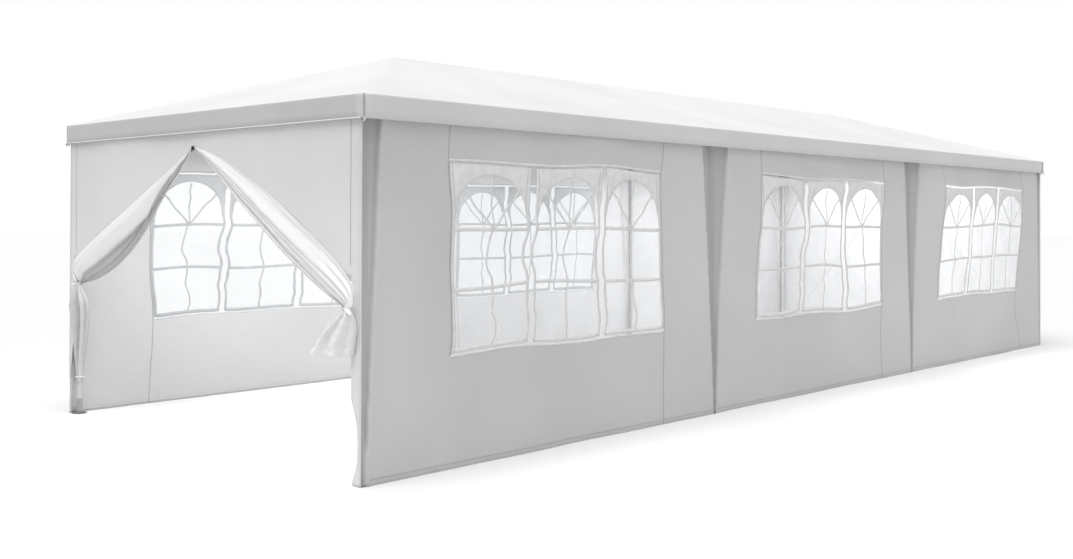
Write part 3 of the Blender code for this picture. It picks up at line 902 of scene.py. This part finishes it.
def add_front_wall(looks):
    """The cloth above the tied flaps, with a strip down beside each leg."""
    edge = BACK_HIGH.y
    lines = {1: LEFT_LINES["top"][:-3], -1: RIGHT_LINES["top"][:-2]}
    columns = end_columns()
    for sign, strip in STRIPS.items():
        inner = strip[-1][1]
        columns = [c for c in columns if abs(c - sign * inner) > 0.004]
        columns += [sign * (inner - 0.0015), sign * (inner + 0.0015)]
    columns.sort()
    rows = 64
    points = []
    for across in columns:
        sign = 1 if across >= 0 else -1
        knee, inner = STRIPS[sign][-1]
        low, tuck = knee, 0.0
        if abs(across) < inner:
            low = line_height(lines[sign], abs(across))
            tuck = 0.030 * ease(0.03, 0.25, abs(across))
        for r in range(rows + 1):
            up = lerp(low - tuck, WALL_TOP, (r / rows) ** 1.2)
            behind = -0.006 * ease(low + 0.002, low - 0.008, up) if tuck else 0.0
            points.append(front_place(across, up, behind))
    faces = grid_faces(len(columns), rows + 1)
    for sign, strip in STRIPS.items():
        knee, inner = strip[-1]
        held = [abs(c) for c in columns if c * sign > inner]
        start = len(points)
        heights = spread(knee, strip[0][0], 0.015)
        for up in heights:
            narrow = smooth_at(strip, up)[0] - inner + min(held)
            for c in held:
                share = (c - min(held)) / (edge - min(held))
                points.append(front_place(sign * lerp(narrow, edge, share), up))
        faces += grid_faces(len(heights), len(held), start=start)
    wall = add_piece("front_wall_cloth", points, faces, looks["front"])
    merge(wall)
    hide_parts("front_door_wall")
    trim = end_seams("front_wall_seams", front_place, 1.06, looks["seam"])


def roll_width(t):
    """How much of the left flap's width is its roll; the rest is cloth hanging behind it."""
    return lerp(0.96, 0.60, ease(0.15, 0.70, t))


def flap_point(hand, t, s, lift=0.0):
    """A point of a tied flap: t from the zip's top to the tie, s from its top line to its free edge."""
    left = hand == "left"
    lines = LEFT_LINES if left else RIGHT_LINES
    roll = roll_width(t)
    at = curve_at(lines["top"], t).lerp(curve_at(lines["low"], t), s)
    if not left:
        share = smooth_at(RIGHT_SECTION, s)[0]
    elif s <= roll:
        share = smooth_at(LEFT_ROLL, s / roll)[0]
    else:
        share = smooth_at(LEFT_UNDERSIDE, (s - roll) / (1 - roll))[0]
    out = FLAP_DEPTH[hand] * sin(pi * t * 0.965) ** 0.75 * share
    held = ease(0.0, 0.12, s)
    seed = 4.0 if left else 9.0
    out += 0.005 * ripple(s * 3.5, t * 3.0, 1.7, seed) * held * sin(pi * t)
    out += 0.0022 * ripple(s * 9.0, t * 11.0, 1.6, seed + 2) * held * sin(pi * t)
    fan = ease(0.72, 0.95, t) * (1 - ease(0.98, 1.0, t))
    out += 0.0065 * sin(s * 31 + 1.2 * t) * fan * held
    return front_place(at.x, at.y) - Vector((out + lift + 0.0012, 0, 0))


def add_front_flap(hand, looks):
    """The drawn-back part of a flap: out from the wall, round, and back under at the zip's edge."""
    lengthwise, across, under = 150, 72, 10
    left = hand == "left"
    points, shade_layers = [], []
    for i in range(lengthwise + 1):
        t = i / lengthwise
        roll = roll_width(t)
        for j in range(across + 1):
            s = j / across
            points.append(flap_point(hand, t, s))
            # Painted shade: on the left, the cloth hanging behind the roll; on the right, a little along
            # the free edge; and the cloth turned under at the zip
            behind = ease(roll - 0.03, roll + 0.02, s) * ease(0.1, 0.35, t)
            shade_layers.append(0.9 * behind if left else 0.10 * ease(0.90, 0.97, s))
        edge = flap_point(hand, t, 1.0)
        for j in range(1, under + 1):
            back = j / under
            p = flap_point(hand, t, 1 - 0.42 * back)
            p.x = lerp(edge.x, 0.006 - HALF_LENGTH, ease(0, 0.5, back))
            points.append(p)
            shade_layers.append(0.8)
    faces = grid_faces(lengthwise + 1, across + under + 1)
    flap = add_piece(f"front_flap_{hand}", points, faces, looks["flap"], shade_layers)
    merge(flap)
    steps = [i / 80 for i in range(1, 79)]
    # The left flap's zip tape and teeth are in the dark seam thread: painted shade under its roll
    tape_look, teeth_look = ("seam", "seam") if left else ("tape", "teeth")
    bands = [
        ("zip_tape", tape_look, (0.86, 0.995), 4, 0.0014, 0.0006),
        ("zip_teeth", teeth_look, (0.965, 1.0), 4, 0.0030, 0.0014),
        ("zip_stitching", "seam", (0.835, 0.855), 2, 0.0022, 0.0004),
    ]
    for part, look, (inner, outer), count, lift, thickness in bands:
        band = Ribbons(lambda t, s, lift: flap_point(hand, t, s, lift))
        band.patch([[(t, lerp(inner, outer, k / count)) for k in range(count + 1)] for t in steps], lift)
        band.finish(f"front_{part}_{hand}", looks[look], thickness)


def add_tail(hand, stops, pleats, seed, dark, looks):
    """A hanging tail of gathered cloth, of stops (up, middle, half width, depth, half depth).

    The left one is tied again to the leg at its foot, so its pleats close up there.
    """
    tied = hand == "left"
    rows, round_it = 96, 150
    foot, top = stops[0][0], stops[-1][0]
    points, shade_layers = [], []
    for i in range(rows + 1):
        t = i / rows
        up = lerp(top, foot, t)
        across, half, depth, thick = smooth_at(stops, up)
        loose = ease(0.0, 0.18, t) * (1 - 0.85 * tied * ease(0.70, 0.98, t))
        for j in range(round_it):
            angle = 2 * pi * j / round_it
            phase = pleats * angle + 1.2 * sin(2 * angle + seed) + 0.5 * ripple(t * 3, angle, 1.0, seed)
            swing = sin(phase)
            radial = 1 + 0.38 * swing * loose + 0.10 * sin(2 * phase + seed) * loose
            side = copysign(abs(cos(angle)) ** 0.85, cos(angle))
            out = thick * sin(angle) * radial + 0.006 * ripple(side * 2, t * 6, 1.4, seed + 4) * loose
            hem = 0.004 * sin(phase + 0.8) * ease(0.85, 1.0, t)
            points.append(end_point("front", across + side * half, up + hem, depth + out))
            # Painted shade, scaled by dark: deeper in the pleats' hollows, less where the tail is
            # gathered; the tied tail gets more down one side and less along a strip near its middle
            shade = dark * (0.66 - 0.34 * swing) * (0.6 + 0.4 * loose)
            if tied:
                shade += 0.7 * bell(angle - 4.1, 0.7)
                shade *= 1 - 0.75 * bell(angle - 2.42 - 0.3 * t, 0.17)
            shade_layers.append(min(1.2, shade))
    faces = grid_faces(rows + 1, round_it, wrap=True)
    # The tied tail takes the darker front cloth: painted shade, as it hangs in shade
    look = looks["front" if tied else "flap"]
    piece = add_piece(f"front_tail_{hand}", points, faces, look, shade_layers)


def band_piece(name, rings, radii, width, material, seed=0.0):
    """Strips tied round in rings, a little slack and creased; each ring is (centre, its axis)."""
    round_it, rows = 48, 7
    points, faces = [], []
    for k, (centre, way) in enumerate(rings):
        way = Vector(way).normalized()
        one = Vector((0, 0, 1)) if abs(way.z) < 0.5 else Vector((0, 1, 0))
        two = way.cross(one)
        start = len(points)
        for r in range(rows):
            v = r / (rows - 1) - 0.5
            for j in range(round_it):
                angle = 2 * pi * j / round_it
                slack = 1 + 0.10 * cos(pi * v * 2)
                slack += 0.08 * sin(3 * angle + seed + k) * (v + 0.5)
                p = Vector(centre) + one * (cos(angle) * radii[0] * slack)
                p += two * (sin(angle) * radii[1] * slack)
                points.append(p + way * (v * width + 0.002 * sin(2 * angle + seed + k)))
        faces += grid_faces(rows, round_it, wrap=True, start=start)
    return add_piece(name, points, faces, material, thickness=0.0012)


def ear_piece(name, root, tip, width, material, seed):
    """A tie's loose end: a short folded strip of cloth, curling out from the knot."""
    along = tip - root
    side = along.cross(Vector((-1, 0, 0))).normalized()
    rows, columns = 18, 9
    points = []
    for i in range(rows + 1):
        t = i / rows
        wide = width * (0.35 + 0.65 * sin(pi * min(1.0, 0.15 + t * 0.75)))
        for j in range(columns):
            v = j / (columns - 1) - 0.5
            fold = 0.30 * wide * cos(2 * pi * v) * (1 - 0.5 * t)
            curl = 0.35 * along.length * t * t + 0.004 * sin(5 * t + seed)
            points.append(root + along * t + side * (v * wide) + Vector((-fold - curl * 0.4, 0, 0)))
    faces = grid_faces(rows + 1, columns)
    return add_piece(name, points, faces, material, thickness=0.001)


def ahead(out, across, up):
    """A point in front of the front wall."""
    return Vector((-HALF_LENGTH - out, across, up))


def add_ties(looks):
    """Tails below the ties, and the ties themselves, with their loose ends."""
    add_tail("left", LEFT_TAIL, 6, 1.1, 0.95, looks)
    add_tail("right", RIGHT_TAIL, 4, 2.6, 0.22, looks)
    tie = looks["tie"]
    for name, at, radii, width, seed in TIES:
        band_piece(name, [(ahead(*at), (0, 0.3, 1))], radii, width, tie, seed)
    leg_tie = (LEG_X[0], LEG_Y, 0.240)
    band_piece("leg_tie_left", [(leg_tie, (0, 0, 1))], (0.029, 0.029), 0.014, tie, seed=2.0)
    for k, (hand, root, tip, width) in enumerate(TIE_ENDS):
        name = f"front_tie_{hand}_end_{k % 2 + 1}"
        # The loose ends take the lightest cloth: painted light where they catch it
        ear_piece(name, ahead(*root), ahead(*tip), width, looks["ear"], seed=1.7 * k)


def add_frame_looks():
    """Steel on the frame's own nodes, and dark metal on the zips' sliders and pulls."""
    looks = {
        "joint": coated_steel("joint_steel", 0.42),
        # The legs' steel is a little darker than the tubes': painted shade, for the front leg that
        # stands in shade
        "leg": coated_steel("leg_steel", 0.50, foot_tone=0.14),
        "tube": coated_steel("tube_steel", 0.56),
        "zip": plain_material("zip_metal", (0.05, 0.05, 0.055), 0.35, metallic=0.8),
    }
    looks["rafter"] = looks["tube"]
    for name, obj in NODES.items():
        chosen = next((look for word, look in looks.items() if word in name), None)
        if chosen is None:
            continue
        obj.data.materials.clear()
        obj.data.materials.append(chosen)
        obj.data.shade_smooth()
        obj.data.set_sharp_from_angle(angle=radians(40))


# Back door


def fold_height(across):
    """How high the back flaps' fold line is."""
    share = (abs(across) - ZIP_HALF_GAP) / FOLD_ACROSS
    return lerp(ZIP_TOP, HEM_Z, min(1.0, max(0.0, share)))


def back_place(across, up, lift=0.0):
    """The closed door hangs flat along its folds, and swells a little between them."""
    off_fold = abs(up - fold_height(across)) * FOLD_SLANT
    calm = ease(0.0, 0.25, off_fold) * ease(0.0, 0.2, HALF_WIDTH - abs(across))
    calm *= ease(0.0, 0.15, abs(abs(across) - ZIP_HALF_GAP))
    calm *= 1 - ease(WALL_TOP - 0.1, WALL_TOP, up)
    out = calm * (0.018 * ripple(across, up * 0.6, 1.5, 61.0) + 0.004 * ripple(across, up, 4.0, 64.0))
    return end_point("back", across, up, out + lift)


def add_back_wall(looks):
    """The fixed cloth over the back door. It laps behind each flap's fold."""
    lap = (FOLD_REACH - 0.010) / FOLD_SLANT
    columns = end_columns() + [s * (FOLD_FOOT_Y + d) for s in (1, -1) for d in (0.004, 0.007)]
    columns.sort()
    rows = 60
    points = []
    for across in columns:
        over_door = abs(across) <= FOLD_FOOT_Y + 0.005
        low = min(fold_height(across) + lap, ZIP_TOP) if over_door else HEM_Z
        for r in range(rows + 1):
            up = lerp(low, WALL_TOP, r / rows)
            behind = -0.0016 if up < low + 0.03 and over_door else 0.0
            points.append(back_place(across, up, behind))
    faces = grid_faces(len(columns), rows + 1)
    wall = add_piece("back_wall_cloth", points, faces, looks["front"])
    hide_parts("back_door_wall")
    trim = end_seams("back_wall_seams", back_place, HEM_Z + 0.004, looks["seam"])
    guard = Ribbons(back_place)
    guard.strip((0.0, ZIP_TOP - 0.075), (0.0, ZIP_TOP + 0.012), 0.030, -0.0050)
    stay = guard.finish("back_zip_guard", looks["front"], 0.0008)


def add_back_flap(hand, looks):
    """A flap of the closed back door: its cloth runs on past the fold, over the wall, with fine rows
    along the fold.
    """
    sign, body = SIDES[hand], f"back_flap_{hand}"
    reach = FOLD_REACH / FOLD_SLANT
    points = []
    columns = spread(ZIP_HALF_GAP, FOLD_FOOT_Y + 0.010, 0.02)
    body_rows, fold_rows = 44, 26
    for across in columns:
        fold = fold_height(across)
        near = max(HEM_Z, fold - reach)
        ups = [lerp(HEM_Z, near, r / body_rows) for r in range(body_rows)]
        ups += [lerp(near, fold + reach, r / fold_rows) for r in range(fold_rows + 1)]
        points += [back_place(sign * across, up) for up in ups]
    faces = grid_faces(len(columns), body_rows + fold_rows + 1)
    flap = add_piece(f"back_flap_cloth_{hand}", points, faces, looks["front"], body=None)
    merge(flap)
    apply_modifiers(flap)
    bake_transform(flap)
    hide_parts(f"back_door_flap_{hand}")
    tape, teeth, hems = Ribbons(back_place), Ribbons(back_place), Ribbons(back_place)
    low, high = HEM_Z + 0.004, ZIP_TOP - 0.05
    tape.strip((sign * 0.0152, low), (sign * 0.0152, high), 0.0296, -0.0012)
    for k in range(int((high - low) / TOOTH_PITCH)):
        up = low + TOOTH_PITCH * (k + (0.25 if sign > 0 else 0.75))
        teeth.strip((sign * 0.0060, up), (sign * 0.0002, up), 0.0028, 0.0, step=0.01)
    hem = HEM_Z + 0.030
    hems.strip((sign * 0.040, hem), (sign * (FOLD_FOOT_Y - 0.10), hem), 0.003, 0.0008)
    hems.strip((sign * 0.014, low + 0.03), (sign * 0.014, high - 0.01), 0.0024, 0.0008)
    trims = [
        tape.finish(f"back_zip_tape_{hand}", looks["zip_tape"], 0.0006, body=body),
        teeth.finish(f"back_zip_teeth_{hand}", looks["teeth"], 0.0014, body=body),
        hems.finish(f"back_flap_stitching_{hand}", looks["seam"], 0.0006, body=body),
    ]


def add_corner_loops(material):
    """A tie-down loop under each corner of the roof cover."""
    up = EAVE_Z - VALANCE - 0.004
    rings = [
        ((end * (ROOF_X - 0.004), side * (ROOF_Y - 0.002), up), (1, 0, 0))
        for end in ENDS.values() for side in SIDES.values()
    ]
    band_piece("corner_loops", rings, (0.010, 0.017), 0.012, material, seed=0.4)


def add_inner_ties(material):
    """Tapes that hold the walls: round each leg at two heights, and over the eave tubes."""
    for hand, sign in SIDES.items():
        # The tied tail covers the front left leg, so it has no tapes
        legs = LEG_X[1:] if hand == "left" else LEG_X
        rings = [((x, sign * LEG_Y, up), (0, 0, 1)) for x in legs for up in (0.62, 1.28)]
        band_piece(f"leg_ties_{hand}", rings, (0.0185, 0.0185), 0.012, material)
        rings = []
        for low, high in zip(LEG_X, LEG_X[1:]):
            at = [lerp(low, high, (k + 0.5) / 5) for k in range(5)]
            rings += [((x, sign * LEG_Y, EAVE_TUBE_Z), (1, 0, 0)) for x in at]
        band_piece(f"eave_ties_{hand}", rings, (0.0185, 0.0185), 0.016, material, seed=0.7)


# The tent

# The cloth tones are one white cloth, painted lighter or darker by how it is lit: painted shade on the
# side walls, less on the end walls, painted light on the roof, flaps and tie ends; a wall's inner face
# gets lighter painted shade in its folds than its outer face
LOOKS = {
    "roof": cloth_material("roof_cloth", 0.87, 0.10, full_shade=0.5),
    "wall": cloth_material("wall_cloth", 0.66, 0.22, full_shade=0.66),
    "wall_inside": cloth_material("wall_cloth_inside", 0.66, 0.22, full_shade=0.90),
    "front": cloth_material("front_cloth", 0.77, 0.22, full_shade=0.66),
    "flap": cloth_material("flap_cloth", 0.88, 0.20, full_shade=0.60),
    "seam": thread_material("seam_thread", 0.42),
    "binding": thread_material("window_binding", 0.74),
    "clear": clear_material("clear_sheet"),
    "print": thread_material("window_print", 0.73, 60.0),
    "print_back": thread_material("window_print_back", 0.48, 60.0),
    "ear": cloth_material("tie_end_cloth", 0.97, 0.30),
    "tie": thread_material("tie_cloth", 0.62),
    "tape": thread_material("door_tape", 0.80),
    "zip_tape": thread_material("zip_tape", 0.50),
    "teeth": thread_material("zip_teeth", 0.66, 1500.0),
}

add_camera()
add_stage()
add_lights()
add_frame_looks()
add_roof(LOOKS)
for side in SIDES:
    for number in range(BAYS):
        add_side_wall(side, number, LOOKS)
add_front_wall(LOOKS)
for side in SIDES:
    add_front_flap(side, LOOKS)
add_ties(LOOKS)
add_back_wall(LOOKS)
for side in SIDES:
    add_back_flap(side, LOOKS)
add_inner_ties(LOOKS["tie"])
add_corner_loops(LOOKS["tie"])
